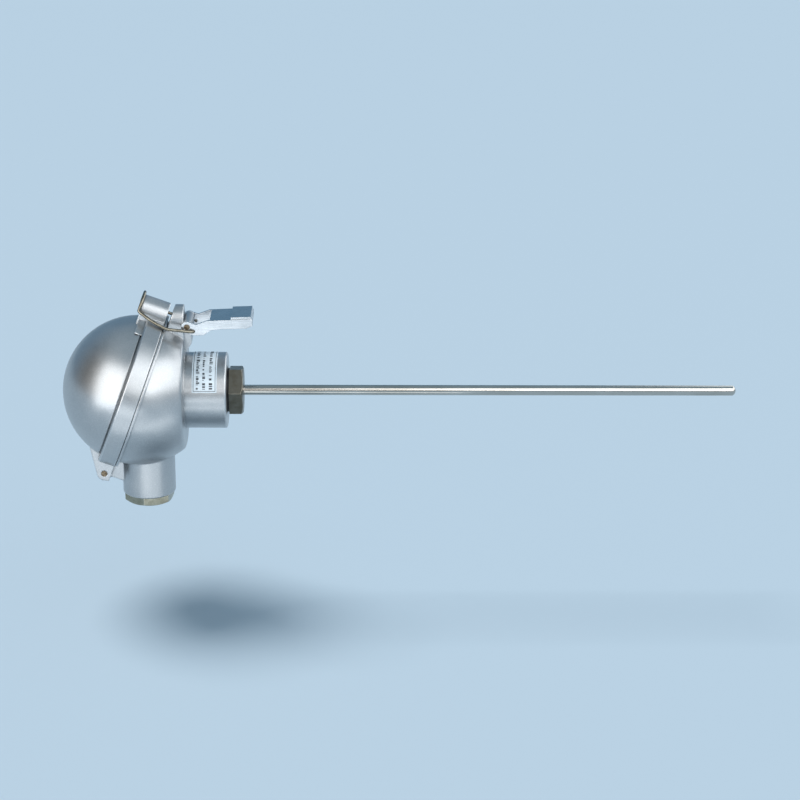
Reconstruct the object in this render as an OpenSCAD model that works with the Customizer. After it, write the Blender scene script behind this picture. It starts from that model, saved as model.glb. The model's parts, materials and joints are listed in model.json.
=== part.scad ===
// Resistance thermometer with a connection head.
//
// The bare stem runs along +X and the hexagon of its fitting ends at the
// origin.  The head sits at -X: its latch is on top (+Z), its cable gland
// points down (-Z) and its domed lid faces -X, tilted by lid_tilt.
// Everything about the lid is drawn in the tilted frame of tilted(): there
// local Z is the normal of the parting plane, pointing out of the head,
// local X points up to the latch, and the origin is the centre of the dome.

/* [Stem] */
// Outer diameter of the stem tube
stem_d = 6; // [4:0.5:8]
// Wall of the stem tube
stem_wall = 0.6; // [0.4:0.1:0.8]
// Length of the bare stem, from the hexagon to the tip
stem_len = 288; // [100:1:500]
// Length of the sensing element
element_len = 26; // [10:1:40]
// Diameter of the sensing element
element_d = 3; // [2:0.1:3.4]

/* [Fitting] */
// Size of the hexagon across its flats
hex_af = 26; // [25:0.5:30]
// Length of the hexagon
hex_len = 7.9; // [6:0.1:14]
// Turn of the hexagon round the stem, from a corner at the side
hex_turn = 10.5; // [-30:0.5:30]
// Diameter of the thread in the neck
neck_thread_d = 21; // [18:0.5:22]
// Length of the thread in the neck
neck_thread_len = 17; // [8:1:22]
// Thickness of the seal ring under the hexagon
neck_seal_t = 1.3; // [0.5:0.1:3]

/* [Head] */
// Outer radius of the dome and of the bowl
dome_r = 43.5; // [42:0.5:48]
// Wall of the castings
wall = 3.2; // [2.5:0.1:4]
// Tilt of the lid towards the latch
lid_tilt = 20; // [16:1:24]
// Depth of the ball that the flat back of the bowl cuts off
back_cut = 16; // [14:0.5:18]
// Radius of the edge round the flat back
back_edge_r = 3.5; // [1:0.5:6]
// Diameter of the neck
neck_d = 44.2; // [38:0.2:48]
// Length of the neck behind the bowl
neck_len = 24.2; // [18:0.1:30]
// Rounding of the free edge of the neck
neck_edge = 0.6; // [0.2:0.1:1.5]

/* [Rim] */
// How far the rim band of the lid stands out from the dome
rim_step = 3.3; // [2:0.1:5]
// Height of the rim band
rim_h = 9.9; // [8:0.1:12]
// Depth of the groove between the dome and the rim band
relief_depth = 1; // [0.4:0.1:1.2]
// Width of the groove between the dome and the rim band
relief_w = 1; // [0.5:0.1:2]
// Distance from the centre of the dome back to the parting plane
parting = 1.3; // [1:0.1:4]
// Gap between the two castings at the parting plane
parting_gap = 0.3; // [0.2:0.05:0.5]
// How far the lip of the bowl stays inside the rim band
lip_inset = 0.5; // [0.2:0.1:1.5]
// Thickness of the lip of the bowl
lip_t = 1.4; // [1:0.1:4]
// Width of the lid gasket
gasket_w = 3; // [2:0.1:3.5]
// Depth of the gasket groove
gasket_depth = 1.5; // [1:0.1:2]

/* [Hinge] */
// Distance of the hinge pin from the rim band
hinge_out = 5.3; // [4.8:0.1:7]
// Height of the hinge pin above the centre of the dome
hinge_n = 2.9; // [2:0.1:4]
// Diameter of the hinge pin
hinge_pin_d = 3.4; // [3:0.1:4]
// Radius of the ears round the hinge pin
hinge_ear_r = 4.2; // [4:0.1:5]
// Thickness of each lid ear
hinge_ear_t = 5.5; // [4:0.5:7]
// Width of the middle knuckle
hinge_knuckle_w = 12; // [10:1:20]
// Height of the block on the bowl that carries the middle knuckle
hinge_block_h = 6.6; // [5:0.1:8]

/* [Latch] */
// Radius of the round top of the lid lug
lug_r = 7.8; // [7:0.1:8.2]
// Distance of the axis of the lid lug from the dome
lug_out = 4.8; // [4:0.1:6]
// Height of the end of the lid lug above the centre of the dome
lug_n = 14.2; // [12:0.1:16]
// Width of the lug on the bowl
body_lug_w = 15; // [12:0.5:16]
// How deep the lug on the bowl is, along the stem axis
body_lug_t = 14; // [12:0.5:16]
// How far the lug on the bowl stands up from the bowl
body_lug_rise = 8.3; // [7:0.1:10]
// Distance of the pivot of the lever from the flat back
lever_out = 2.2; // [1.8:0.1:3]
// Width of the lever over its flanges
lever_w = 22; // [21:0.1:24]
// Thickness of the lever sheet
lever_t = 1.6; // [1.2:0.1:2]
// Length of the lever from its pivot to its end
lever_len = 37.3; // [32:0.1:45]
// Length of the fork of the lever, from its pivot to its web
lever_fork = 13; // [12:0.1:15]
// Height of the top of the lever at its end, above the pivot
lever_rise = 5; // [4.6:0.1:6]
// Depth of the flanges of the lever at its end
lever_side_h = 5.7; // [4:0.1:7]
// Depth of the flanges below the pivot, where the bail enters
lever_drop = 4.8; // [4.4:0.1:6]
// Length of the raised pad at the end of the lever
pad_len = 12.4; // [8:0.1:16]
// Height of the raised pad
pad_h = 1.2; // [0.5:0.1:2]
// Diameter of the pivot pin of the lever
lever_pin_d = 3.4; // [3:0.1:4]
// Diameter of the bail wire
bail_d = 1.8; // [1.4:0.1:2.2]
// Distance of the bail holes from the pivot, along the lever
bail_eye_x = 3.7; // [3.2:0.1:5]
// Distance of the bail holes below the pivot
bail_eye_z = 2.5; // [2:0.1:2.8]

/* [Gland] */
// Diameter of the gland boss
boss_d = 30.8; // [28:0.2:34]
// Length of the gland boss below the bowl
boss_len = 19.2; // [14:0.1:26]
// Place of the gland along the stem axis, from the centre of the dome
gland_x = 4.5; // [2:0.5:8]
// Diameter of the gland thread
gland_thread_d = 20; // [18:0.5:20]
// Size of the gland nut across its flats
gland_nut_af = 26; // [22:0.5:28]
// Height of the hexagon of the gland nut
gland_nut_h = 5.2; // [3:0.1:8]
// Turn of the gland nut, from a corner at the side
gland_nut_turn = 8.5; // [-30:0.5:30]
// Length of the thread of the gland nut
gland_nut_thread = 8; // [5:0.5:10]
// Diameter of the cable entry
cable_d = 10.5; // [8:0.5:12]
// Thickness of the gland seal
gland_seal_t = 5; // [3:0.5:6]
// Thickness of the gland washer
gland_washer_t = 1; // [0.5:0.1:2]

/* [Terminals] */
// Distance between the two fixing screws
block_pitch = 33; // [33:0.5:35]
// Diameter of the fixing screws
block_screw_d = 4; // [3:0.5:4]
// Length of the springs under the fixing screws
spring_len = 5; // [4:0.5:8]
// Diameter of the mounting plate
plate_d = 41; // [41:0.5:44]
// Thickness of the mounting plate
plate_t = 2; // [1:0.1:3]
// Height of the bosses under the mounting plate
plate_boss_h = 3; // [2:0.5:5]
// Diameter of the terminal block
block_d = 40.6; // [40.6:0.1:44]
// Thickness of the terminal block
block_t = 9; // [7:0.5:12]
// Width of each brass clamp
clamp_w = 7; // [6:0.5:7]
// Length of each brass clamp
clamp_l = 11; // [10:0.5:12]
// Height of each brass clamp
clamp_h = 6; // [5:0.5:7]
// Distance of the clamps from the middle of the block, across
clamp_y = 5.6; // [5:0.1:6]
// Distance of the clamps from the middle of the block, up and down
clamp_z = 11; // [10:0.1:12]
// Diameter of the terminal screws
terminal_screw_d = 3; // [2.5:0.5:3]
// Diameter of the lead wires over their insulation
wire_d = 1; // [0.8:0.1:1.2]

/* [Label] */
// Width of the label along the neck
label_w = 14.2; // [10:0.2:18]
// Distance of the label from the free end of the neck
label_in = 5.2; // [1:0.1:8]
// Angle that the label wraps round the neck
label_wrap = 105; // [60:5:150]
// Angle of the lower edge of the label above the side of the neck
label_low = 15; // [-10:1:30]
// Thickness of the label
label_t = 0.15; // [0.1:0.05:0.3]

/* [Hidden] */
$fn = 96;

fit = 0.05;      // radial clearance of pins and threads in their bores
gap = 0.3;       // clearance between pieces that move past each other
e = 1;           // how far a cutter reaches past the face that it cuts
big = 200;       // side of the half spaces that cut the castings

// Sizes that follow from the ones above
back_dist = dome_r - back_cut;
rim_r = dome_r + rim_step;
hinge_s = rim_r + hinge_out;
lug_s = dome_r + lug_out;
body_lug_z = dome_r + body_lug_rise;
boss_z = dome_r + boss_len;

// Places along the stem axis
neck_face_x = -hex_len - neck_seal_t;
back_x = neck_face_x - neck_len;
dome_x = back_x - back_dist;
floor_x = back_x - wall;
plate_x = floor_x - plate_boss_h;
block_x = plate_x - plate_t;
block_top_x = block_x - block_t;
thread_end_x = neck_face_x - neck_thread_len;

// Heights and radii in the tilted frame
inner_r = dome_r - wall;
body_face_n = -parting;
lid_face_n = body_face_n + parting_gap;
rim_top_n = lid_face_n + rim_h;
rim_chamfer = 0.8;
lip_r = rim_r - lip_inset;
face_in_r = inner_r - 2;
relief_r = sqrt(pow(dome_r, 2) - pow(rim_top_n, 2)) - relief_depth;
gasket_r = (face_in_r + dome_r) / 2;

// Hinge: the foot of the ears sets how low the block below them lies
hinge_w = hinge_knuckle_w + 2 * gap + 2 * hinge_ear_t;
knuckle_r = hinge_ear_r - 0.2;
ear_foot_s = hinge_s + hinge_ear_r - 0.7;
ear_foot_r = norm([ear_foot_s - hinge_s, hinge_n - lid_face_n]);
hinge_block_n = hinge_n - ear_foot_r - gap;
hinge_block_s = hinge_s + 2.7;

// Latch: the pivot of the lever, and the hole of the bail seen from it
lever_x = back_x + lever_out;
lever_z = body_lug_z - 10.1;
lever_in = lever_w - 2 * lever_t;
lever_eye_r = lever_pin_d / 2 + 1.5;
bail_eye = [bail_eye_x, -bail_eye_z];
bail_r = bail_d / 2;
bail_y = lever_w / 2 + gap + bail_r;
arch_n = lug_n + 0.8;
arch_r = lug_r + gap + bail_r;

// Gland, seen down the stem axis
boss_x = dome_x + gland_x;
gland_washer_z = -boss_z + gland_nut_thread;
gland_seal_z = gland_washer_z + gland_washer_t;
gland_shoulder_z = gland_seal_z + gland_seal_t;

// Measuring insert
tube_in_r = stem_d / 2 - stem_wall;
tube_end_x = stem_len - 2 * stem_wall;
tip_r = 0.56 * stem_d;
element_end_x = tube_end_x - 4;
element_x = element_end_x - element_len;
plug_len = 6;
wire_pitch = 0.9;
wire_bore_r = wire_d / 2 + fit;
seat_r = stem_d / 2 - 0.2;
clamp_depth = 2;
clamp_top_x = block_top_x - clamp_h + clamp_depth;
clamp_wire_x = (clamp_top_x + block_top_x) / 2;
screw_pitch = 6;
earth_z = sqrt(pow(inner_r, 2) - pow(back_dist - wall, 2)) - 5;
earth_boss_h = 2;
earth_boss_x = floor_x - earth_boss_h;
earth_tip_x = back_x - 1.4;
block_screw_tip_x = back_x - 1.2;

// ------------------------------------------------------------ basic shapes

// The tilted frame of the lid, and a point carried out of it
module tilted() {
    translate([dome_x, 0, 0])
        rotate([0, lid_tilt - 90, 0])
            children();
}
function from_tilted(s, y, n) =
    [dome_x + s * sin(lid_tilt) - n * cos(lid_tilt), y, s * cos(lid_tilt) + n * sin(lid_tilt)];

// Everything on the body side of a plane across the tilted frame, or beyond it
module below(n) {
    tilted()
        translate([-big / 2, -big / 2, n - big])
            cube(big);
}
module above(n) {
    tilted()
        translate([-big / 2, -big / 2, n])
            cube(big);
}

// A cylinder along X, Y or Z between two places on its axis
module along_x(r, x0, x1, y = 0, z = 0) {
    translate([x0, y, z])
        rotate([0, 90, 0])
            cylinder(r = r, h = x1 - x0);
}
module along_y(r, y0, y1, x = 0, z = 0) {
    translate([x, y0, z])
        rotate([-90, 0, 0])
            cylinder(r = r, h = y1 - y0);
}
module along_z(r, z0, z1, x = 0, y = 0) {
    translate([x, y, z0])
        cylinder(r = r, h = z1 - z0);
}

// A tube along X
module tube_x(r_out, r_in, x0, x1) {
    difference() {
        along_x(r_out, x0, x1);
        along_x(r_in, x0 - e, x1 + e);
    }
}

// A flat outline of points [x, z] given a width along Y
module plate_y(width, y0 = 0) {
    translate([0, y0 + width / 2, 0])
        rotate([90, 0, 0])
            linear_extrude(width)
                children();
}

// A straight round bar between two points
module bar(a, b, r) {
    v = b - a;
    translate(a)
        rotate([0, acos(v[2] / norm(v)), atan2(v[1], v[0])])
            cylinder(r = r, h = norm(v), $fn = 32);
}

// A cheese-head screw along X with its head at x0, reaching to x1, and a slot
module screw_x(d, x0, x1, y, z) {
    head_r = 0.88 * d;
    head_h = 0.6 * d;
    difference() {
        union() {
            along_x(head_r, x0 - head_h, x0, y, z);
            along_x(d / 2 - fit, x0, x1, y, z);
        }
        translate([x0 - head_h, y, z])
            cube([head_h, 2 * head_r + e, 0.2 * d], center = true);
    }
}

// The point where a line from a to a circle round c touches it, on the left
function touch(a, c, r) =
    let (d = a - c, turn = atan2(d[1], d[0]) + acos(r / norm(d)))
    c + r * [cos(turn), sin(turn)];

// A round wire swept along points, as one closed solid
function unit(v) = v / norm(v);
function sweep_dir(p, i) =
    unit(p[min(i + 1, len(p) - 1)] - p[max(i - 1, 0)]);
function sweep_ring(p, i, r, sides, side_dir) =
    let (t = sweep_dir(p, i), u = unit(cross(t, side_dir)), v = cross(t, u))
    [for (k = [0 : sides - 1])
        p[i] + r * (cos(360 * k / sides) * u + sin(360 * k / sides) * v)];
module sweep(p, r, sides, side_dir) {
    rings = len(p);
    points = [for (i = [0 : rings - 1]) each sweep_ring(p, i, r, sides, side_dir)];
    walls = [for (i = [0 : rings - 2], k = [0 : sides - 1])
        let (a = i * sides + k, b = i * sides + (k + 1) % sides)
        each [[a, b, b + sides], [a, b + sides, a + sides]]];
    first = [for (k = [0 : sides - 1]) sides - 1 - k];
    last = [for (k = [0 : sides - 1]) (rings - 1) * sides + k];
    polyhedron(points = points, faces = concat([first], walls, [last]));
}

// ---------------------------------------------------------------- castings

// Outside of the bowl: a ball with a flat back and a rounded edge round it
module bowl_shape() {
    edge_u = back_dist - back_edge_r;
    edge_v = sqrt(pow(dome_r - back_edge_r, 2) - edge_u * edge_u);
    touch_u = edge_u * dome_r / (dome_r - back_edge_r);
    translate([dome_x, 0, 0])
        rotate([0, 90, 0])
            rotate_extrude()
                union() {
                    intersection() {
                        circle(dome_r);
                        translate([0, -dome_r])
                            square([dome_r, dome_r + touch_u]);
                    }
                    intersection() {
                        union() {
                            translate([edge_v, edge_u])
                                circle(back_edge_r);
                            square([edge_v, back_dist]);
                        }
                        translate([0, touch_u])
                            square([dome_r, back_dist]);
                    }
                }
}

// Room inside both castings
module cavity() {
    intersection() {
        translate([dome_x, 0, 0])
            sphere(inner_r);
        tilted()
            along_z(face_in_r, -big, big);
        translate([floor_x - big, -big / 2, -big / 2])
            cube(big);
    }
}

// Bosses that stand on the floor of the bowl
module floor_bosses() {
    for (side = [-1, 1])
        along_x(block_screw_d / 2 + 2.2, plate_x, floor_x + e, side * block_pitch / 2);
    along_x(block_screw_d / 2 + 2, earth_boss_x, floor_x + e, 0, -earth_z);
}

// Lug on the bowl that carries the lever, with the barrel of its pivot pin
module body_latch_lug() {
    round_z = body_lug_z - body_lug_w / 2;
    base_z = dome_r - 12;
    intersection() {
        union() {
            translate([back_x - body_lug_t, -body_lug_w / 2, base_z])
                cube([body_lug_t, body_lug_w, round_z - base_z]);
            along_x(body_lug_w / 2, back_x - body_lug_t, back_x, 0, round_z);
        }
        below(body_face_n - 2.3);
    }
    along_y(lever_eye_r, gap - lever_in / 2, lever_in / 2 - gap, lever_x, lever_z);
    plate_y(body_lug_w - 3)
        polygon([[back_x - 4, base_z - 6], [back_x + 1, base_z - 6],
            [lever_x + 2.2, base_z - 1], [lever_x + 2.2, lever_z], [back_x - 4, lever_z]]);
}

// Block below the rim that carries the middle knuckle of the hinge
module body_hinge() {
    root_s = dome_r - 6;
    tilted()
        plate_y(hinge_knuckle_w) {
            translate([-hinge_s, hinge_n])
                circle(knuckle_r);
            polygon([[-hinge_s - knuckle_r, hinge_n], [-hinge_block_s, hinge_block_n],
                [-hinge_block_s, hinge_block_n - hinge_block_h],
                [-root_s, hinge_block_n - hinge_block_h - 2.4], [-root_s, body_face_n],
                [knuckle_r - hinge_s, body_face_n], [knuckle_r - hinge_s, hinge_n]]);
        }
}

module head_body() {
    color("silver")
        difference() {
            union() {
                intersection() {
                    bowl_shape();
                    below(body_face_n);
                }
                tilted()
                    along_z(lip_r, body_face_n - lip_t, body_face_n);
                along_x(neck_d / 2, back_x - back_edge_r, neck_face_x - neck_edge);
                translate([neck_face_x - neck_edge, 0, 0])
                    rotate([0, 90, 0])
                        cylinder(r1 = neck_d / 2, r2 = neck_d / 2 - neck_edge, h = neck_edge);
                along_z(boss_d / 2, neck_edge - boss_z, -dome_r / 2, boss_x);
                translate([boss_x, 0, -boss_z])
                    cylinder(r1 = boss_d / 2 - neck_edge, r2 = boss_d / 2, h = neck_edge);
                body_latch_lug();
                body_hinge();
            }
            difference() {
                cavity();
                floor_bosses();
            }
            tilted()
                lid_gasket_ring(fit, body_face_n - gasket_depth, body_face_n + e);
            along_x(neck_thread_d / 2, floor_x - e, neck_face_x + e);
            along_z(gland_thread_d / 2, -boss_z - e, gland_shoulder_z, boss_x);
            along_z(cable_d / 2 + 1, -boss_z, 8 - inner_r, boss_x);
            for (side = [-1, 1])
                along_x(block_screw_d / 2, plate_x - e, block_screw_tip_x, side * block_pitch / 2);
            along_x(block_screw_d / 2, earth_boss_x - e, earth_tip_x, 0, -earth_z);
            tilted()
                along_y(hinge_pin_d / 2, -big / 2, big / 2, -hinge_s, hinge_n);
            along_y(lever_pin_d / 2, -big / 2, big / 2, lever_x, lever_z);
        }
}

// One of the two ears of the lid, in the tilted frame
module hinge_ear() {
    pin = [-hinge_s, hinge_n];
    tip = [8.5 - dome_r, hinge_n + 15.6];
    translate(pin)
        circle(hinge_ear_r);
    polygon([tip, touch(tip, pin, hinge_ear_r), pin - [hinge_ear_r, 0],
        [-ear_foot_s, lid_face_n], [4 - dome_r, lid_face_n], [8 - dome_r, rim_top_n]]);
}

// Lug of the lid that the bail holds, with wings that run out on the dome
module lid_lug() {
    wing_s = dome_r - 5.2;
    wing_y = lug_r + 10.5;
    translate([0, 0, lid_face_n])
        linear_extrude(lug_n - lid_face_n) {
            translate([lug_s, 0])
                circle(lug_r);
            translate([dome_r - 6, -lug_r])
                square([lug_s - dome_r + 6, 2 * lug_r]);
        }
    translate([0, 0, rim_top_n - e])
        linear_extrude(lug_n - rim_top_n)
            polygon([[lug_s - 4, lug_r - 1], [wing_s, wing_y], [wing_s, -wing_y],
                [lug_s - 4, 1 - lug_r]]);
}

module lid() {
    color("gainsboro")
        difference() {
            union() {
                difference() {
                    intersection() {
                        translate([dome_x, 0, 0])
                            sphere(dome_r);
                        above(lid_face_n);
                    }
                    tilted()
                        difference() {
                            along_z(rim_r, rim_top_n - rim_chamfer, rim_top_n + relief_w);
                            along_z(relief_r, rim_top_n - e, rim_top_n + relief_w + e);
                        }
                }
                tilted() {
                    along_z(rim_r, lid_face_n, rim_top_n - rim_chamfer);
                    translate([0, 0, rim_top_n - rim_chamfer])
                        cylinder(r1 = rim_r, r2 = rim_r - rim_chamfer, h = rim_chamfer);
                    lid_lug();
                    for (side = [-1, 1])
                        plate_y(hinge_ear_t, side * (hinge_w - hinge_ear_t) / 2)
                            hinge_ear();
                }
            }
            cavity();
            tilted()
                along_y(hinge_pin_d / 2 + fit, -big / 2, big / 2, -hinge_s, hinge_n);
        }
}

module lid_gasket_ring(clear, n0, n1) {
    difference() {
        along_z(gasket_r + gasket_w / 2 + clear, n0, n1);
        along_z(gasket_r - gasket_w / 2 - clear, n0 - e, n1 + e);
    }
}

module lid_gasket() {
    color("dimgray")
        tilted()
            lid_gasket_ring(0, body_face_n - gasket_depth, lid_face_n - 2 * fit);
}

module hinge_pin() {
    color("rosybrown")
        tilted()
            along_y(hinge_pin_d / 2, -hinge_w / 2 - gap, hinge_w / 2 + gap, -hinge_s, hinge_n);
}

// ------------------------------------------------------------------- latch

// Side view of the lever, seen from its pivot
module lever_side() {
    low = lever_rise - lever_side_h;
    circle(lever_eye_r);
    polygon([[0, lever_eye_r], [0.4 * lever_fork, 0.28 * lever_rise],
        [0.9 * lever_fork, 0.77 * lever_rise], [lever_len - 1, lever_rise],
        [lever_len, lever_rise - 1], [lever_len, low + 1.4], [lever_len - 3.5, low],
        [1.5 * lever_fork, 1.6 * low], [1.05 * lever_fork, 2.5 * low],
        [0.72 * lever_fork, -lever_drop], [bail_eye_x - 0.4, -lever_drop],
        [-0.6 * lever_eye_r, -0.8 * lever_eye_r]]);
}

module latch_lever() {
    web_z = 0.77 * lever_rise - lever_t;
    pad_z = lever_rise - 1;
    color("lightgray")
        translate([lever_x, 0, lever_z])
            difference() {
                union() {
                    plate_y(lever_w)
                        lever_side();
                    plate_y(lever_w - 1)
                        polygon([[lever_len - pad_len, pad_z],
                            [lever_len - pad_len + 0.3, lever_rise + pad_h - 0.4],
                            [lever_len - 0.8, lever_rise + pad_h], [lever_len - 0.3, pad_z]]);
                }
                plate_y(lever_in)
                    polygon([[-big, -big], [-big, big], [lever_fork, big], [lever_fork, web_z],
                        [lever_len - lever_t, web_z + 0.23 * lever_rise],
                        [lever_len - lever_t, -big]]);
                along_y(lever_pin_d / 2 + fit, -lever_w, lever_w);
                along_y(bail_r + fit, -lever_w, lever_w, bail_eye[0], bail_eye[1]);
            }
}

module lever_pin() {
    color("lightgray")
        along_y(lever_pin_d / 2, -lever_w / 2, lever_w / 2, lever_x, lever_z);
}

// The bail: an arch round the end of the lid lug and two bent legs
module latch_bail() {
    bend = 1.02 * bail_r;
    color("gray") {
        tilted()
            translate([lug_s, 0, arch_n])
                rotate([0, 0, -90])
                    rotate_extrude(angle = 180)
                        translate([arch_r, 0])
                            circle(bail_r, $fn = 32);
        for (side = [-1, 1]) {
            eye = [lever_x + bail_eye[0], side * bail_y, lever_z + bail_eye[1]];
            stub = [eye[0], side * lever_in / 2, eye[2]];
            route = [stub, eye,
                from_tilted(rim_r - 1.3, side * (bail_y + 2.6), body_face_n - 1.7),
                from_tilted(rim_r - 0.4, side * (bail_y + 1.8), body_face_n + 4.7),
                from_tilted(rim_r + 0.3, side * (bail_y + 0.2), rim_top_n - 0.5),
                from_tilted(lug_s, side * arch_r, arch_n)];
            for (i = [0 : len(route) - 2])
                bar(route[i], route[i + 1], bail_r);
            for (i = [1 : len(route) - 1])
                translate(route[i])
                    sphere(bend, $fn = 32);
        }
    }
}

// ----------------------------------------------------------- stem and neck

module stem_fitting() {
    corner_r = hex_af / sqrt(3);
    color("rosybrown")
        difference() {
            union() {
                intersection() {
                    translate([-hex_len, 0, 0])
                        rotate([0, 90, 0])
                            rotate([0, 0, 90 - hex_turn])
                                cylinder(r = corner_r, h = hex_len, $fn = 6);
                    union() {
                        along_x(corner_r + e, -hex_len - e, -1.2);
                        translate([-1.2, 0, 0])
                            rotate([0, 90, 0])
                                cylinder(r1 = corner_r + 0.3, r2 = hex_af / 2 - 0.1, h = 1.2);
                    }
                }
                along_x(neck_thread_d / 2 - fit, thread_end_x, -hex_len + 0.1);
            }
            along_x(seat_r + fit, thread_end_x - e, e);
        }
}

module neck_seal() {
    color("black")
        tube_x(hex_af / 2 - 0.3, neck_thread_d / 2 + fit, neck_face_x, -hex_len);
}

// The stem is turned down a little where it sits in the fitting
module stem_tube() {
    color("lightgray")
        difference() {
            union() {
                rotate([0, 90, 0])
                    rotate_extrude()
                        intersection() {
                            square([stem_d / 2, stem_len]);
                            union() {
                                translate([0, stem_len - tip_r])
                                    circle(tip_r);
                                square([stem_d, stem_len - tip_r]);
                            }
                        }
                along_x(seat_r, block_x, e);
            }
            along_x(tube_in_r, block_x - e, tube_end_x);
        }
}

// The four bores of the lead wires
module wire_bores(x0, x1) {
    for (y = [-1, 1], z = [-1, 1])
        along_x(wire_bore_r, x0, x1, y * wire_pitch, z * wire_pitch);
}

module stem_filling() {
    color("white")
        difference() {
            along_x(tube_in_r - fit, block_x + plug_len, tube_end_x);
            wire_bores(block_x, element_x + e);
            along_x(element_d / 2 + fit, element_x, element_end_x);
        }
}

module potting_plug() {
    color("darkslategray")
        difference() {
            along_x(tube_in_r - fit, block_x, block_x + plug_len);
            wire_bores(block_x - e, block_x + plug_len + e);
        }
}

module rtd_element() {
    color("white")
        along_x(element_d / 2, element_x, element_end_x);
}

// A lead wire from the element to the clamp on its side
module lead_wire(y, z) {
    in_y = y * wire_pitch;
    in_z = z * wire_pitch;
    start = [block_x - 6, in_y, in_z];
    bend_1 = [clamp_wire_x, in_y, in_z];
    bend_2 = [clamp_wire_x, y * clamp_y, z * (clamp_z - clamp_l / 2 - 3)];
    finish = [clamp_wire_x, y * clamp_y, z * (clamp_z - clamp_l / 2 + 0.6)];
    curve = [for (t = [0 : 1 / 8 : 1])
        pow(1 - t, 3) * start + 3 * t * pow(1 - t, 2) * bend_1
            + 3 * t * t * (1 - t) * bend_2 + pow(t, 3) * finish];
    sweep(concat([[element_x, in_y, in_z]], curve), wire_d / 2, 8, [0, -z, y]);
}

module lead_red_1() {
    color("red")
        lead_wire(-1, 1);
}
module lead_red_2() {
    color("red")
        lead_wire(-1, -1);
}
module lead_white_1() {
    color("white")
        lead_wire(1, 1);
}
module lead_white_2() {
    color("white")
        lead_wire(1, -1);
}

// ---------------------------------------------------------- measuring insert

module insert_plate() {
    color("lightgray")
        difference() {
            along_x(plate_d / 2, block_x, plate_x);
            along_x(seat_r + fit, block_x - e, plate_x + e);
            for (side = [-1, 1])
                along_x(block_screw_d / 2 + fit, block_x - e, plate_x + e,
                    side * block_pitch / 2);
        }
}

module terminal_block() {
    color("white")
        difference() {
            along_x(block_d / 2, block_top_x, block_x);
            along_x(4, block_top_x - e, block_x + e);
            for (side = [-1, 1])
                along_x(block_screw_d / 2 + fit, block_top_x - e, block_x + e,
                    side * block_pitch / 2);
            for (y = [-1, 1], z = [-1, 1])
                translate([block_top_x, y * clamp_y, z * clamp_z])
                    cube([2 * clamp_depth, clamp_w + 2 * fit, clamp_l + 2 * fit], center = true);
        }
}

module terminal_clamp(y, z) {
    color("goldenrod")
        translate([0, y * clamp_y, z * clamp_z])
            difference() {
                translate([clamp_top_x, -clamp_w / 2, -clamp_l / 2])
                    cube([clamp_h, clamp_w, clamp_l]);
                for (side = [-1, 1]) {
                    along_x(terminal_screw_d / 2, clamp_top_x - e, clamp_top_x + clamp_h - 1, 0,
                        side * screw_pitch / 2);
                    translate([clamp_wire_x, 0, side * clamp_l / 2])
                        cylinder(r = wire_d / 2 + 0.2, h = 1.6, center = true);
                }
            }
}

module terminal_clamp_1() {
    terminal_clamp(-1, 1);
}
module terminal_clamp_2() {
    terminal_clamp(1, 1);
}
module terminal_clamp_3() {
    terminal_clamp(-1, -1);
}
module terminal_clamp_4() {
    terminal_clamp(1, -1);
}

module terminal_screws() {
    color("goldenrod")
        for (y = [-1, 1], z = [-1, 1], side = [-1, 1])
            screw_x(terminal_screw_d, clamp_top_x, clamp_top_x + clamp_h - 1.5,
                y * clamp_y, z * clamp_z + side * screw_pitch / 2);
}

module block_screws() {
    color("lightgray")
        for (side = [-1, 1])
            screw_x(block_screw_d, block_top_x - spring_len, block_screw_tip_x - 0.5,
                side * block_pitch / 2, 0);
}

module insert_springs() {
    coil_r = block_screw_d / 2 + 0.7;
    wire_r = 0.35;
    turns = 4;
    steps = 14 * turns;
    travel = spring_len - 2 * wire_r;
    color("gray")
        for (side = [-1, 1])
            sweep([for (i = [0 : steps])
                [block_top_x - wire_r - travel * i / steps,
                    side * block_pitch / 2 + coil_r * cos(360 * turns * i / steps),
                    coil_r * sin(360 * turns * i / steps)]],
                wire_r, 6, [1, 0, 0]);
}

module earth_screw() {
    color("lightgray")
        screw_x(block_screw_d, earth_boss_x - 0.8, earth_tip_x - 0.4, 0, -earth_z);
}

module earth_washer() {
    color("goldenrod")
        translate([0, 0, -earth_z])
            tube_x(4, block_screw_d / 2 + fit, earth_boss_x - 0.8, earth_boss_x);
}

// ------------------------------------------------------------- cable gland

module gland_nut() {
    corner_r = gland_nut_af / sqrt(3);
    color("khaki")
        difference() {
            union() {
                intersection() {
                    translate([boss_x, 0, -boss_z - gland_nut_h])
                        rotate([0, 0, 90 - gland_nut_turn])
                            cylinder(r = corner_r, h = gland_nut_h, $fn = 6);
                    translate([boss_x, 0, -boss_z - gland_nut_h])
                        cylinder(r1 = gland_nut_af / 2 - 0.1,
                            r2 = gland_nut_af / 2 - 0.1 + gland_nut_h * 1.7, h = gland_nut_h);
                }
                along_z(gland_thread_d / 2 - fit, -boss_z, gland_washer_z, boss_x);
            }
            along_z(cable_d / 2, -boss_z - gland_nut_h - e, gland_washer_z + e, boss_x);
        }
}

module gland_washer() {
    color("khaki")
        difference() {
            along_z(gland_thread_d / 2 - 2 * fit, gland_washer_z, gland_seal_z, boss_x);
            along_z(cable_d / 2, gland_washer_z - e, gland_seal_z + e, boss_x);
        }
}

module gland_seal() {
    color("black")
        difference() {
            along_z(gland_thread_d / 2 - 2 * fit, gland_seal_z, gland_shoulder_z, boss_x);
            along_z(cable_d / 2 - 1, gland_seal_z - e, gland_shoulder_z + e, boss_x);
        }
}

// ------------------------------------------------------------------- label

module type_label() {
    color("whitesmoke")
        translate([neck_face_x - label_in, 0, 0])
            rotate([0, -90, 0])
                rotate_extrude(angle = label_wrap, start = label_low - 90)
                    translate([neck_d / 2, 0])
                        square([label_t, label_w]);
}

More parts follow.
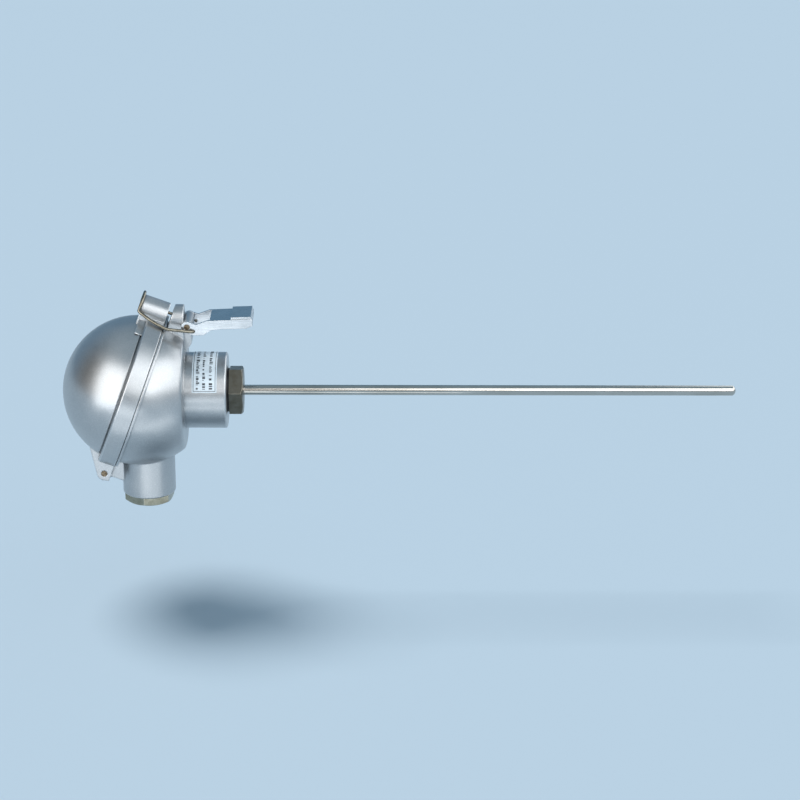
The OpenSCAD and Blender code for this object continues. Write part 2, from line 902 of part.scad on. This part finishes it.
head_body();
lid();
lid_gasket();
hinge_pin();
latch_lever();
latch_bail();
lever_pin();
stem_fitting();
neck_seal();
stem_tube();
stem_filling();
potting_plug();
rtd_element();
lead_red_1();
lead_red_2();
lead_white_1();
lead_white_2();
insert_plate();
insert_springs();
terminal_block();
terminal_clamp_1();
terminal_clamp_2();
terminal_clamp_3();
terminal_clamp_4();
terminal_screws();
block_screws();
earth_screw();
earth_washer();
gland_nut();
gland_washer();
gland_seal();
type_label();
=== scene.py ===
"""Looks of a resistance thermometer with a die-cast connection head and a lever latch."""

import json
import math
import random

import bpy
from mathutils import Matrix, Vector

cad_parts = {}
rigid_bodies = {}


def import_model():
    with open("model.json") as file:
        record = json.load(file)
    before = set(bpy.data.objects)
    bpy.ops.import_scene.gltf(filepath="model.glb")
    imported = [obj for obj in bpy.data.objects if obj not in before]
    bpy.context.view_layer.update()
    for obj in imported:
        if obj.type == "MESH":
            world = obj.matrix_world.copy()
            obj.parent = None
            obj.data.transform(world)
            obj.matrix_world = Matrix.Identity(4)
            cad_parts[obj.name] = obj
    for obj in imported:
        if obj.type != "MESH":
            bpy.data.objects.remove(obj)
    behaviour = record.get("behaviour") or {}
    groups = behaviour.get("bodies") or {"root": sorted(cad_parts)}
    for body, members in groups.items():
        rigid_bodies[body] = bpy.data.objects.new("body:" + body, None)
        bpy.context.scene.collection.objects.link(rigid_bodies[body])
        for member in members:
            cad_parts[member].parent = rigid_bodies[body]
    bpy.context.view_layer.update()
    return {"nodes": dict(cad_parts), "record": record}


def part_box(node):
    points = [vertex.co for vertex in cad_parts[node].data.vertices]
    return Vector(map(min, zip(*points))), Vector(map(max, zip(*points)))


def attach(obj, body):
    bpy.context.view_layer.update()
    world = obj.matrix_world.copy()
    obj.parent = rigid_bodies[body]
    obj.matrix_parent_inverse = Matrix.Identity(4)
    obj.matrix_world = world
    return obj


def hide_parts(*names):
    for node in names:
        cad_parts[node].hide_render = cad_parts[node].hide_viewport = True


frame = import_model()
MM = 0.001


def rgb(code):
    """Linear colour of an sRGB hex value."""
    parts = [int(code[i:i + 2], 16) / 255 for i in (1, 3, 5)]
    linear = [c / 12.92 if c <= 0.04045 else ((c + 0.055) / 1.055) ** 2.4 for c in parts]
    return (*linear, 1.0)


def add(tree, kind, settings, inputs):
    """A shader node with its settings, its input values and its links."""
    node = tree.nodes.new("ShaderNode" + kind)
    for name, value in settings.items():
        setattr(node, name, value)
    for key, value in inputs.items():
        if isinstance(value, bpy.types.NodeSocket):
            tree.links.new(value, node.inputs[key])
        else:
            node.inputs[key].default_value = value
    return node


# ------------------------------------------------------------------ camera

# The camera stands in front of the part, looks down by about 20 degrees and has a long lens.
CAMERA_PLACE = Vector((57.80, -1107.81, 398.63)) * MM
CAMERA_RIGHT = Vector((0.99960, -0.02607, 0.01107))
CAMERA_UP = Vector((-0.00145, 0.34326, 0.93924))
SENSOR_WIDTH = 36
FOCAL_LENGTH = 90.80

camera = bpy.data.objects.new("camera", bpy.data.cameras.new("camera"))
bpy.context.collection.objects.link(camera)
camera.location = CAMERA_PLACE
axes = Matrix((CAMERA_RIGHT, CAMERA_UP, CAMERA_RIGHT.cross(CAMERA_UP)))
camera.rotation_euler = axes.transposed().to_euler()
camera.data.sensor_width = SENSOR_WIDTH
camera.data.lens = FOCAL_LENGTH
bpy.context.scene.camera = camera


# --------------------------------------------------------------- materials

# At a scale of 1 the wave texture repeats at this length.
WAVE_LENGTH = math.pi / 10


def new_material(name):
    """An empty material, its node tree and its Object coordinates, which are metres in the frame."""
    material = bpy.data.materials.new(name)
    material.use_nodes = True
    material.node_tree.nodes.clear()
    place = add(material.node_tree, "TexCoord", {}, {}).outputs["Object"]
    return material, material.node_tree, place


def finish_material(tree, values):
    """The surface shader with these values, and the output."""
    shader = add(tree, "BsdfPrincipled", {}, values)
    add(tree, "OutputMaterial", {}, {"Surface": shader.outputs[0]})


def grain(tree, place, size, stretch=(1, 1, 1), detail=3.0):
    """Noise whose lumps measure size millimetres, drawn out by stretch along each axis."""
    scale = add(tree, "Mapping", {}, {"Vector": place, "Scale": [1 / (size * MM * s) for s in stretch]})
    return add(tree, "TexNoise", {}, {
        "Vector": scale.outputs[0], "Scale": 1.0, "Detail": detail, "Roughness": 0.55}).outputs[0]


def spread(tree, value, low, high, start=0.3, end=0.7):
    """A value taken from the range start..end to the range low..high."""
    return add(tree, "MapRange", {}, {
        "Value": value, "From Min": start, "From Max": end, "To Min": low, "To Max": high}).outputs[0]


def blend_colour(tree, amount, first, second):
    """A colour between two others, each a hex value or a socket.

    Inputs 6 and 7 and output 2 are the Mix node's colour sockets.
    """
    ends = [rgb(c) if isinstance(c, str) else c for c in (first, second)]
    return add(tree, "Mix", {"data_type": "RGBA"}, {0: amount, 6: ends[0], 7: ends[1]}).outputs[2]


def worn_edge(tree, radius, start, end):
    """The normal with edges rounded by radius millimetres, and 0 on faces to 1 on edges."""
    soft = add(tree, "Bevel", {"samples": 6}, {"Radius": radius * MM}).outputs[0]
    sharp = add(tree, "NewGeometry", {}, {}).outputs["Normal"]
    along = add(tree, "VectorMath", {"operation": "DOT_PRODUCT"}, {0: soft, 1: sharp}).outputs["Value"]
    return soft, spread(tree, along, 0.0, 1.0, start, end)


def silver_paint():
    """Die-cast aluminium, sprayed with silver paint.

    Fine aluminium flakes in the lacquer give broad, soft highlights with a little sparkle.
    They are drawn about ten times as coarse as real ones, so that they show. Below the paint
    the skin of the casting is slightly wavy. Edges are brighter, where the paint is thin, and
    painted shade darkens the corners, gaps and grooves.
    """
    material, tree, place = new_material("silver_paint_die_cast")
    flakes = grain(tree, place, size=0.45, detail=2.0)
    waves = grain(tree, place, size=2.2)
    clouds = grain(tree, place, size=16.0)
    soft, edge = worn_edge(tree, radius=0.9, start=0.995, end=0.9)
    # Painted shade: ambient occlusion turns the paint dark grey in corners, gaps and grooves.
    shade = add(tree, "AmbientOcclusion", {"samples": 6}, {"Distance": 2.5 * MM}).outputs["AO"]
    paint = blend_colour(tree, spread(tree, clouds, 0.0, 1.0), "#A6AAAD", "#B1B4B6")
    paint = blend_colour(tree, spread(tree, flakes, 0.0, 0.5, start=0.45, end=0.75), paint, "#D2D4D5")
    paint = blend_colour(tree, edge, paint, "#DADCDD")
    paint = blend_colour(tree, spread(tree, shade, 1.0, 0.0, start=0.2, end=0.75), paint, "#3E4246")
    rough = spread(tree, clouds, 0.31, 0.37)
    peel = add(tree, "Bump", {}, {
        "Strength": 0.25, "Distance": 0.04 * MM, "Height": waves, "Normal": soft}).outputs[0]
    skin = add(tree, "Bump", {}, {
        "Strength": 0.3, "Distance": 0.012 * MM, "Height": flakes, "Normal": peel}).outputs[0]
    finish_material(tree, {"Base Color": paint, "Metallic": 0.92, "Roughness": rough, "Normal": skin})
    return material


def drawn_tube():
    """Stainless steel tube, drawn.

    Drawing leaves fine lines along the tube, so a lamp is a long narrow streak along it. The
    lines are drawn a third of a millimetre wide, coarser than real ones, so that they show.
    """
    material, tree, place = new_material("stainless_drawn_tube")
    lines = grain(tree, place, size=0.35, stretch=(120, 1, 1))
    stains = grain(tree, place, size=9.0, stretch=(3, 1, 1))
    metal = blend_colour(tree, spread(tree, stains, 0.0, 1.0), "#C4C1BB", "#B2AEA6")
    rough = spread(tree, lines, 0.11, 0.18)
    scored = add(tree, "Bump", {}, {
        "Strength": 0.08, "Distance": 0.01 * MM, "Height": lines}).outputs[0]
    finish_material(tree, {"Base Color": metal, "Metallic": 1.0, "Roughness": rough, "Normal": scored})
    return material


def milled_steel():
    """Stainless steel, turned and milled, then pickled to a dull warm grey.

    The cutter leaves rings round the axis of the stem, drawn coarser than the real feed so
    that they show, and edges are a little brighter.
    """
    material, tree, place = new_material("stainless_milled")
    soft, edge = worn_edge(tree, radius=0.35, start=0.99, end=0.85)
    ring_pitch = 1.19
    rings = add(tree, "TexWave", {"bands_direction": "X"}, {
        "Vector": place, "Scale": WAVE_LENGTH / (ring_pitch * MM), "Distortion": 1.2,
        "Detail": 2.0}).outputs[0]
    stains = grain(tree, place, size=4.0)
    metal = blend_colour(tree, spread(tree, stains, 0.0, 1.0), "#726E64", "#5E5A4F")
    metal = blend_colour(tree, edge, metal, "#A39F94")
    rough = spread(tree, stains, 0.30, 0.38)
    milled = add(tree, "Bump", {}, {
        "Strength": 0.12, "Distance": 0.01 * MM, "Height": rings, "Normal": soft}).outputs[0]
    finish_material(tree, {"Base Color": metal, "Metallic": 1.0, "Roughness": rough, "Normal": milled})
    return material


def pressed_sheet():
    """Stainless steel sheet, blanked and pressed, then tumbled.

    Rolling leaves faint lines along the lever, drawn coarser than real ones so that they show,
    and tumbling gives bright round edges.
    """
    material, tree, place = new_material("stainless_pressed_sheet")
    soft, edge = worn_edge(tree, radius=0.35, start=0.99, end=0.85)
    lines = grain(tree, place, size=0.3, stretch=(40, 1, 1))
    stains = grain(tree, place, size=6.0)
    metal = blend_colour(tree, spread(tree, stains, 0.0, 1.0), "#C9CCCF", "#BBBFC2")
    metal = blend_colour(tree, edge, metal, "#E2E4E5")
    rough = spread(tree, lines, 0.24, 0.33)
    rolled = add(tree, "Bump", {}, {
        "Strength": 0.2, "Distance": 0.008 * MM, "Height": lines, "Normal": soft}).outputs[0]
    finish_material(tree, {"Base Color": metal, "Metallic": 1.0, "Roughness": rough, "Normal": rolled})
    return material


def spring_wire():
    """Spring steel wire, drawn: smooth, and a little yellowed by the heat of its stress relief."""
    material, tree, place = new_material("spring_wire_drawn")
    stains = grain(tree, place, size=2.5)
    metal = blend_colour(tree, spread(tree, stains, 0.0, 1.0), "#8F8A7D", "#6C665A")
    rough = spread(tree, stains, 0.20, 0.32)
    finish_material(tree, {"Base Color": metal, "Metallic": 1.0, "Roughness": rough})
    return material


def tarnished_pin():
    """Steel pin, cut from wire and riveted at the ends: dented, and brown with tarnish."""
    material, tree, place = new_material("steel_pin_tarnished")
    soft, edge = worn_edge(tree, radius=0.3, start=0.99, end=0.8)
    spots = grain(tree, place, size=0.9)
    metal = blend_colour(tree, spread(tree, spots, 0.0, 1.0), "#8A7B66", "#5C5142")
    metal = blend_colour(tree, edge, metal, "#A39786")
    rough = spread(tree, spots, 0.35, 0.55)
    dents = add(tree, "Bump", {}, {
        "Strength": 0.5, "Distance": 0.06 * MM, "Height": spots, "Normal": soft}).outputs[0]
    finish_material(tree, {"Base Color": metal, "Metallic": 0.9, "Roughness": rough, "Normal": dents})
    return material


def black_rubber():
    """Nitrile rubber, moulded: black and dull, with a faint grey bloom.

    The grain of its skin is drawn a quarter of a millimetre wide, coarser than it is, to show.
    """
    material, tree, place = new_material("nitrile_rubber_moulded")
    bloom = grain(tree, place, size=3.0)
    skin = grain(tree, place, size=0.25)
    colour = blend_colour(tree, spread(tree, bloom, 0.0, 1.0), "#151516", "#222324")
    matt = add(tree, "Bump", {}, {"Strength": 0.4, "Distance": 0.02 * MM, "Height": skin}).outputs[0]
    finish_material(tree, {
        "Base Color": colour, "Roughness": 0.62, "Specular IOR Level": 0.4, "Normal": matt})
    return material


def nickel_plate():
    """Brass, turned and nickel plated: yellower than steel, smooth, and more of a mirror."""
    material, tree, place = new_material("brass_nickel_plated")
    soft, edge = worn_edge(tree, radius=0.4, start=0.99, end=0.85)
    haze = grain(tree, place, size=3.0)
    metal = blend_colour(tree, spread(tree, haze, 0.0, 1.0), "#A7A392", "#8C8877")
    metal = blend_colour(tree, edge, metal, "#D8D5CA")
    rough = spread(tree, haze, 0.17, 0.25)
    cut = add(tree, "Bump", {}, {
        "Strength": 0.1, "Distance": 0.02 * MM, "Height": haze, "Normal": soft}).outputs[0]
    finish_material(tree, {"Base Color": metal, "Metallic": 1.0, "Roughness": rough, "Normal": cut})
    return material


def bare_brass():
    """Brass, milled and left bare: yellow, with fine cuts, and slightly dulled by handling."""
    material, tree, place = new_material("brass_milled")
    soft, edge = worn_edge(tree, radius=0.3, start=0.99, end=0.85)
    cuts = grain(tree, place, size=0.25, stretch=(1, 1, 12))
    dull = grain(tree, place, size=3.0)
    metal = blend_colour(tree, spread(tree, dull, 0.0, 1.0), "#C9A45C", "#A98443")
    metal = blend_colour(tree, edge, metal, "#E0C283")
    rough = spread(tree, dull, 0.24, 0.38)
    milled = add(tree, "Bump", {}, {
        "Strength": 0.25, "Distance": 0.01 * MM, "Height": cuts, "Normal": soft}).outputs[0]
    finish_material(tree, {"Base Color": metal, "Metallic": 1.0, "Roughness": rough, "Normal": milled})
    return material


def steatite():
    """Steatite, pressed and fired without a glaze: ivory and dense, with a fine speckle."""
    material, tree, place = new_material("steatite_pressed")
    specks = grain(tree, place, size=0.5)
    tone = grain(tree, place, size=7.0)
    colour = blend_colour(tree, spread(tree, tone, 0.0, 1.0), "#E9E4D6", "#DDD6C4")
    colour = blend_colour(tree, spread(tree, specks, 0.0, 0.6, start=0.62, end=0.75), colour, "#B3A88F")
    sand = add(tree, "Bump", {}, {"Strength": 0.35, "Distance": 0.03 * MM, "Height": specks}).outputs[0]
    finish_material(tree, {"Base Color": colour, "Roughness": 0.55, "Normal": sand})
    return material


def powder():
    """Mineral powder, packed by shaking: pale, matt and crumbly."""
    material, tree, place = new_material("mineral_powder_packed")
    lumps = grain(tree, place, size=0.3)
    colour = blend_colour(tree, spread(tree, lumps, 0.0, 1.0), "#E6E3DB", "#CFCABD")
    crumbs = add(tree, "Bump", {}, {"Strength": 0.8, "Distance": 0.08 * MM, "Height": lumps}).outputs[0]
    finish_material(tree, {"Base Color": colour, "Roughness": 0.9, "Normal": crumbs})
    return material


def resin():
    """Epoxy resin, cast: dark green, with a skin that looks wet."""
    material, tree, place = new_material("epoxy_resin_cast")
    clouds = grain(tree, place, size=2.0)
    colour = blend_colour(tree, spread(tree, clouds, 0.0, 1.0), "#1C2622", "#2B3A33")
    finish_material(tree, {"Base Color": colour, "Roughness": 0.28, "Coat Weight": 0.3})
    return material


def insulation(name, light, dark):
    """Silicone insulation of a lead, extruded: satin, with faint marks along it."""
    material, tree, place = new_material(name)
    marks = grain(tree, place, size=0.4, stretch=(6, 1, 1))
    colour = blend_colour(tree, spread(tree, marks, 0.0, 1.0), light, dark)
    drawn = add(tree, "Bump", {}, {"Strength": 0.2, "Distance": 0.02 * MM, "Height": marks}).outputs[0]
    finish_material(tree, {"Base Color": colour, "Roughness": 0.45, "Normal": drawn})
    return material


def label_film():
    """Polyester film with a matt silver coat: pale, cool grey, with a faint gloss."""
    material, tree, place = new_material("label_film_polyester")
    waves = grain(tree, place, size=3.0)
    colour = blend_colour(tree, spread(tree, waves, 0.0, 1.0), "#C8D3DA", "#B7C4CC")
    wavy = add(tree, "Bump", {}, {"Strength": 0.2, "Distance": 0.03 * MM, "Height": waves}).outputs[0]
    finish_material(tree, {
        "Base Color": colour, "Metallic": 0.25, "Roughness": 0.33, "Normal": wavy})
    return material


def label_ink():
    """Black ink, printed by thermal transfer: satin and a little uneven."""
    material, tree, place = new_material("label_print_thermal")
    gaps = grain(tree, place, size=0.3)
    colour = blend_colour(tree, spread(tree, gaps, 0.0, 1.0), "#1E2226", "#3B4147")
    finish_material(tree, {"Base Color": colour, "Roughness": 0.5})
    return material


FINISH = {
    "silver_paint": silver_paint(),
    "stainless_tube": drawn_tube(),
    "stainless_turned": milled_steel(),
    "stainless_sheet": pressed_sheet(),
    "spring_wire": spring_wire(),
    "bare_steel": tarnished_pin(),
    "black_rubber": black_rubber(),
    "mineral_powder": powder(),
    "potting_resin": resin(),
    "ceramic_white": steatite(),
    "red_insulation": insulation("silicone_lead_red", "#A6231C", "#8A1A15"),
    "white_insulation": insulation("silicone_lead_white", "#E6E3DC", "#D2CEC4"),
    "bare_brass": bare_brass(),
    "nickel_brass": nickel_plate(),
    "label_film": label_film(),
}
INK = label_ink()

for part in frame["record"]["subparts"]:
    solid = frame["nodes"][part["node"]]
    solid.data.materials.clear()
    solid.data.materials.append(FINISH[part["material_slot"]])


# -------------------------------------------------------------- new pieces

def piece(name, vertices, faces, material, body):
    """A smooth mesh piece that rides on a body, with its material."""
    mesh = bpy.data.meshes.new(name)
    mesh.from_pydata([tuple(v) for v in vertices], [], faces)
    mesh.validate()
    mesh.polygons.foreach_set("use_smooth", [True] * len(mesh.polygons))
    mesh.materials.append(material)
    thing = bpy.data.objects.new(name, mesh)
    bpy.context.collection.objects.link(thing)
    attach(thing, body)
    return thing


BEND_STEPS = 6
BEND_SHARE = 0.48       # the longest share of a straight stretch that one bend may take


def rounded_path(corners, cut):
    """A path through corners, each rounded by a curve that starts cut millimetres before it."""
    points = [corners[0]]
    for before, corner, after in zip(corners, corners[1:], corners[2:]):
        back = before - corner
        on = after - corner
        start = corner + back.normalized() * min(cut * MM, back.length * BEND_SHARE)
        end = corner + on.normalized() * min(cut * MM, on.length * BEND_SHARE)
        for i in range(BEND_STEPS + 1):
            t = i / BEND_STEPS
            points.append(start * (1 - t) ** 2 + corner * 2 * t * (1 - t) + end * t ** 2)
    points.append(corners[-1])
    return points


# The domed cut end of a wire: the distance of each ring past the end, and its size, in radii.
WIRE_END = ((0, 1), (0.12, 0.9), (0.35, 0.55))


def wire(path, radius, sides):
    """Vertices and faces of a round wire along a path, with domed cut ends."""
    vertices, faces, rings = [], [], []
    side = None
    for i, point in enumerate(path):
        ahead = (path[min(i + 1, len(path) - 1)] - path[max(i - 1, 0)]).normalized()
        if side is None:
            side = ahead.orthogonal().normalized()
        side = (side - ahead * side.dot(ahead)).normalized()
        other = ahead.cross(side)
        profile = WIRE_END[:1]
        if i == 0:
            profile = [(-shift, size) for shift, size in reversed(WIRE_END)]
        elif i == len(path) - 1:
            profile = WIRE_END
        for shift, size in profile:
            rings.append(len(vertices))
            for k in range(sides):
                angle = 2 * math.pi * k / sides
                out = side * math.cos(angle) + other * math.sin(angle)
                vertices.append(point + ahead * shift * radius + out * radius * size)
    for ring, after in zip(rings, rings[1:]):
        for k in range(sides):
            n = (k + 1) % sides
            faces.append((ring + k, ring + n, after + n, after + k))
    faces.append(tuple(range(sides - 1, -1, -1)))
    faces.append(tuple(range(rings[-1], rings[-1] + sides)))
    return vertices, faces


# Bail: one bent wire, from its hook in one flange of the lever round the lug to the other flange.
# The route is that of its solid, in millimetres, with the bends of a real wire.
HEAD_TILT = math.radians(20)
DOME_X = -60.9
RIM_R = 46.8
RIM_TOP = 8.9
BAIL_R = 0.9
BAIL_Y = 12.2
BAIL_BEND = 2.2
BAIL_SIDES = 20
EYE_X, EYE_Z = -27.5, 39.2
HOOK_DEPTH = 1.2
ARCH_R, ARCH_S, ARCH_N = 9.0, 48.3, 15.0
ARCH_STEPS = 24
# Where a leg passes the rim: its place from the rim outwards, from the leg sideways, and up.
RIM_POINTS = ((-1.3, 2.6, -3.0), (-0.4, 1.8, 3.4), (0.3, 0.2, RIM_TOP - 0.5))


def on_head(s, y, n):
    """A point from the tilted frame of the lid: outwards, sideways and up from the dome's centre."""
    return Vector((
        DOME_X + s * math.sin(HEAD_TILT) - n * math.cos(HEAD_TILT), y,
        s * math.cos(HEAD_TILT) + n * math.sin(HEAD_TILT))) * MM


def bail_leg(side):
    """The corners of one leg, from the end of its hook in the flange to the arch."""
    flange_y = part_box("latch_lever")[1].y / MM
    hook = [Vector((EYE_X, side * y, EYE_Z)) * MM for y in (flange_y - HOOK_DEPTH, BAIL_Y)]
    past_rim = [on_head(RIM_R + out, side * (BAIL_Y + wide), up) for out, wide, up in RIM_POINTS]
    return hook + past_rim + [on_head(ARCH_S, side * ARCH_R, ARCH_N)]


angles = [math.pi * (i / ARCH_STEPS - 0.5) for i in range(1, ARCH_STEPS)]
arch = [on_head(ARCH_S + ARCH_R * math.cos(a), ARCH_R * math.sin(a), ARCH_N) for a in angles]
bail_path = rounded_path(bail_leg(-1) + arch + bail_leg(1)[::-1], BAIL_BEND)
vertices, faces = wire(bail_path, BAIL_R * MM, BAIL_SIDES)
bail = piece("bail_wire", vertices, faces, FINISH["spring_wire"], "bail_body")
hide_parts("latch_bail")

# Springs under the fixing screws of the insert: round wire with flat ends, in millimetres.
SCREW_Y = 16.5
SPRING_TURNS = 4.5
SPRING_WIRE_R = 0.35
SPRING_SIDES = 10
TURN_STEPS = 20
FLAT_END = 0.11         # the share of the wire that lies flat at each end


def spring_path(centre_y, x_from, x_to, coil_r):
    """The centre line of a spring that stands along the stem's axis."""
    steps = int(SPRING_TURNS * TURN_STEPS)
    path = []
    for i in range(steps + 1):
        t = i / steps
        rise = min(max((t - FLAT_END) / (1 - 2 * FLAT_END), 0), 1)
        x = x_from + (x_to - x_from) * rise
        angle = 2 * math.pi * SPRING_TURNS * t
        path.append(Vector((x, centre_y + coil_r * math.cos(angle), coil_r * math.sin(angle))) * MM)
    return path


low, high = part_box("insert_springs")
x_from, x_to = low.x / MM + SPRING_WIRE_R, high.x / MM - SPRING_WIRE_R
coil_r = high.y / MM - SCREW_Y - SPRING_WIRE_R
for name, centre_y in (("spring_front", -SCREW_Y), ("spring_back", SCREW_Y)):
    path = spring_path(centre_y, x_from, x_to, coil_r)
    vertices, faces = wire(path, SPRING_WIRE_R * MM, SPRING_SIDES)
    spring = piece(name, vertices, faces, FINISH["spring_wire"], "root")
    if name == "spring_front":
        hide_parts("insert_springs")

# Print on the label: a thin frame and rows of short generic bars, none of them a letter.
# Lengths are in millimetres along the neck, and angles in degrees round it, up from its front.
NECK_R = 22.1
FILM_THICK = 0.15
PRINT_R = NECK_R + FILM_THICK + 0.02
LABEL_FROM, LABEL_TO = 15.0, 120.0
# The frame: how far it stands in from the edges of the label, and how wide its bars are.
FRAME_IN, FRAME_BAR = 0.7, 0.3
FRAME_IN_ANGLE, FRAME_BAR_ANGLE = 2.0, 0.8
# Each row of bars: its distance from the edge of the label, and the height of its tallest bar.
TEXT_ROWS = ((2.4, 1.9), (6.0, 1.6), (9.8, 1.9))
TEXT_FROM, TEXT_TO = LABEL_FROM + 5, LABEL_TO - 9
ARC_STEP = 3


def printed_bar(x_from, x_to, angle_from, angle_to):
    """Vertices and faces of a printed bar that follows the neck."""
    count = max(1, int((angle_to - angle_from) / ARC_STEP))
    vertices, faces = [], []
    for i in range(count + 1):
        angle = math.radians(angle_from + (angle_to - angle_from) * i / count)
        for x in (x_from, x_to):
            vertices.append(Vector((x, -PRINT_R * math.cos(angle), PRINT_R * math.sin(angle))) * MM)
    for i in range(count):
        faces.append((2 * i, 2 * i + 1, 2 * i + 3, 2 * i + 2))
    return vertices, faces


def frame_bars(x_from, x_to, angle_from, angle_to):
    """The four bars of a frame that fills this stretch of the label."""
    return [
        (x_from, x_from + FRAME_BAR, angle_from, angle_to),
        (x_to - FRAME_BAR, x_to, angle_from, angle_to),
        (x_from, x_to, angle_from, angle_from + FRAME_BAR_ANGLE),
        (x_from, x_to, angle_to - FRAME_BAR_ANGLE, angle_to)]


def text_bars(label_x):
    """Rows of bars that run round the neck, their widths, heights and gaps left to chance."""
    dice = random.Random(7)
    bars = []
    for row_in, row_tall in TEXT_ROWS:
        angle = TEXT_FROM
        while angle < TEXT_TO:
            stroke = dice.choice((1.0, 1.6, 2.4, 3.2))
            height = row_tall * dice.choice((0.6, 0.8, 1.0))
            x = label_x + row_in
            bars.append((x, x + height, angle, angle + stroke))
            angle += stroke + dice.choice((0.9, 0.9, 1.4, 4.0))
    return bars


low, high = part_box("type_label")
x_from, x_to = low.x / MM, high.x / MM
bars = frame_bars(
    x_from + FRAME_IN, x_to - FRAME_IN, LABEL_FROM + FRAME_IN_ANGLE, LABEL_TO - FRAME_IN_ANGLE)
print_vertices, print_faces = [], []
for bar in bars + text_bars(x_from):
    vertices, faces = printed_bar(*bar)
    start = len(print_vertices)
    print_vertices += vertices
    print_faces += [tuple(start + k for k in face) for face in faces]
piece("label_print", print_vertices, print_faces, INK, "root")


# ------------------------------------------------------------------- stage

# Floor: a wide sheet of pale blue-grey paper, low enough for the open lid to hang free, in metres.
FLOOR_HALF = 20
FLOOR_Z = -0.13

mesh = bpy.data.meshes.new("floor")
corners = [(x * FLOOR_HALF, y * FLOOR_HALF, 0) for x, y in ((-1, -1), (1, -1), (1, 1), (-1, 1))]
mesh.from_pydata(corners, [], [(0, 1, 2, 3)])
floor = bpy.data.objects.new("floor", mesh)
bpy.context.collection.objects.link(floor)
floor.location = (0, 0, FLOOR_Z)
material, tree, _ = new_material("floor_paper")
finish_material(tree, {"Base Color": rgb("#C8D9E5"), "Roughness": 0.85, "Specular IOR Level": 0.1})
floor.data.materials.append(material)

# World: a room that is cool behind, warm and darker in front, and brighter on the right.
world = bpy.data.worlds.new("studio")
bpy.context.scene.world = world
world.use_nodes = True
tree = world.node_tree
tree.nodes.clear()
direction = add(tree, "SeparateXYZ", {}, {0: add(tree, "TexCoord", {}, {}).outputs["Generated"]})


def towards(axis, start, end):
    """From 0 to 1 as the direction turns from start to end along an axis."""
    return add(tree, "MapRange", {"interpolation_type": "SMOOTHSTEP"}, {
        "Value": direction.outputs[axis], "From Min": start, "From Max": end}).outputs[0]


front_room = blend_colour(tree, towards("X", -0.6, 0.4), "#675D50", "#A3ADB6")
back_room = blend_colour(tree, towards("X", -0.2, 0.8), "#688FAC", "#A9BAC8")
room = blend_colour(tree, towards("Y", -0.1, 0.8), front_room, back_room)
room = blend_colour(tree, towards("Z", 0.5, 1.0), room, "#94ABBA")
light = add(tree, "Background", {}, {"Color": room, "Strength": 1.0})
add(tree, "OutputWorld", {}, {"Surface": light.outputs[0]})

# Lamps: soft panels round the object and a wide sky light. The panels light the pieces, and the
# sky the floor too, so the floor is even and keeps one soft shadow.
HEAD = Vector((-0.04, 0, 0))
# Each panel: direction from the head, distance, width and height in metres, power in watts.
PANELS = {
    "front_panel": ((0.55, -0.58, 0.56), 1.1, 1.3, 0.95, 8.6),
    "side_panel": ((-0.62, -0.72, 0.34), 0.62, 0.52, 0.70, 3.0),
    "right_panel": ((0.80, 0.42, 0.43), 1.0, 1.2, 0.7, 4.4),
    "middle_panel": ((0.1, -0.94, 0.32), 0.9, 0.9, 0.12, 0.75),
    "low_panel": ((-0.14, -0.95, -0.27), 0.40, 0.2, 0.12, 0.13),
    "boss_panel": ((0.03, -0.16, -0.112), 0.198, 0.3, 0.045, 0.045),
}
SKY_WAY = (-0.35, 0.25, 1.0)
SKY_DISTANCE = 2.0
SKY_STRENGTH = 2.0
SKY_ANGLE = math.radians(28)


def add_lamp(name, kind, way, distance):
    """A lamp that shines at the head from one direction and that the camera doesn't see."""
    lamp = bpy.data.objects.new(name, bpy.data.lights.new(name, kind))
    lamp.location = HEAD + Vector(way).normalized() * distance
    lamp.rotation_euler = (HEAD - lamp.location).to_track_quat("-Z", "Y").to_euler()
    lamp.visible_camera = False
    bpy.context.collection.objects.link(lamp)
    return lamp


pieces = bpy.data.collections.new("pieces")
for thing in bpy.context.scene.objects:
    if thing.type == "MESH" and thing is not floor:
        pieces.objects.link(thing)
for name, (way, distance, wide, tall, power) in PANELS.items():
    panel = add_lamp(name, "AREA", way, distance)
    panel.data.shape = "RECTANGLE"
    panel.data.size = wide
    panel.data.size_y = tall
    panel.data.energy = power
    panel.light_linking.receiver_collection = pieces

sky = add_lamp("sky", "SUN", SKY_WAY, SKY_DISTANCE)
sky.data.energy = SKY_STRENGTH
sky.data.angle = SKY_ANGLE
sky.visible_glossy = False

bpy.context.scene.view_settings.view_transform = "Standard"
